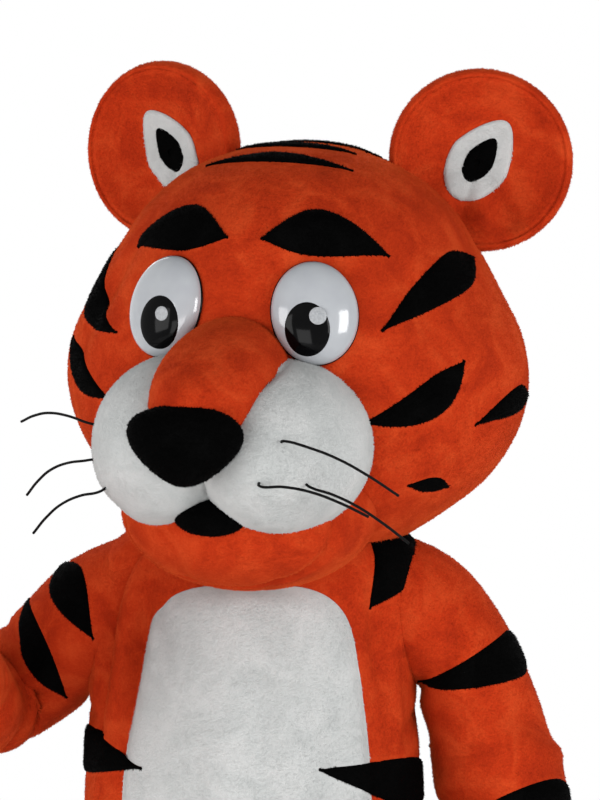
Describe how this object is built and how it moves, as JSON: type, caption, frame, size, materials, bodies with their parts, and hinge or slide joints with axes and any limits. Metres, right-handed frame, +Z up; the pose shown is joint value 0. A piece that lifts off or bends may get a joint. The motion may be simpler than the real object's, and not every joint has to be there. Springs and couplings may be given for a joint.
{
  "type": "tiger mascot costume",
  "caption": "Worn tiger mascot costume in plush: rounded head with ears, dome eyes and muzzle, bodysuit with white belly, paws, feet and tail.",
  "frame": {"origin": "between the wearer's shoulders, where the suit hangs from them", "axes": "+Z up the wearer's body, -Y the way the costume faces, +X towards its left in the wearer's terms and right in a front view"},
  "size_m": [0.6872, 0.7396, 1.9162],
  "materials": {
    "plush_orange": "short-pile plush",
    "plush_black": "short-pile plush",
    "plush_white": "short-pile plush",
    "gloss_white": "gloss",
    "gloss_black": "gloss",
    "strand_black": "satin",
    "sole_black": "matte"
  },
  "bodies": {
    "root": {"back_placket": "plush_orange", "belly_panel": "plush_white", "bridge": "plush_orange", "brow_left": "plush_black", "brow_right": "plush_black", "cheek_stripe_left_lower": "plush_black", "cheek_stripe_left_upper": "plush_black", "cheek_stripe_right_lower": "plush_black", "cheek_stripe_right_middle": "plush_black", "cheek_stripe_right_upper": "plush_black", "crown_stripe_back": "plush_black", "crown_stripe_front": "plush_black", "crown_stripe_middle": "plush_black", "ear_back_left": "plush_orange", "ear_back_right": "plush_orange", "ear_front_left": "plush_orange", "ear_front_right": "plush_orange", "ear_patch_left": "plush_white", "ear_patch_right": "plush_white", "ear_spot_left": "plush_black", "ear_spot_right": "plush_black", "eye_left": "gloss_white", "eye_right": "gloss_white", "foot_left": "plush_orange", "foot_right": "plush_orange", "head_back": "plush_orange", "head_front": "plush_orange", "jaw": "plush_orange", "leg_left": "plush_orange", "leg_right": "plush_orange", "mouth": "plush_black", "muzzle_left": "plush_white", "muzzle_right": "plush_white", "nose": "plush_black", "paw_left": "plush_orange", "paw_right": "plush_orange", "pupil_left": "gloss_black", "pupil_right": "gloss_black", "sleeve_left_back": "plush_orange", "sleeve_left_front": "plush_orange", "sleeve_right": "plush_orange", "sole_left": "sole_black", "sole_right": "sole_black", "stripe_arm_right_lower": "plush_black", "stripe_arm_right_upper": "plush_black", "stripe_shoulder_left": "plush_black", "stripe_shoulder_right": "plush_black", "stripe_waist_left": "plush_black", "stripe_waist_right": "plush_black", "suit_back_left": "plush_orange", "suit_back_right": "plush_orange", "suit_front": "plush_orange", "tail": "plush_orange", "whisker_1": "strand_black", "whisker_2": "strand_black", "whisker_3": "strand_black", "whisker_4": "strand_black", "whisker_5": "strand_black", "whisker_6": "strand_black"}
  },
  "joints": []
}
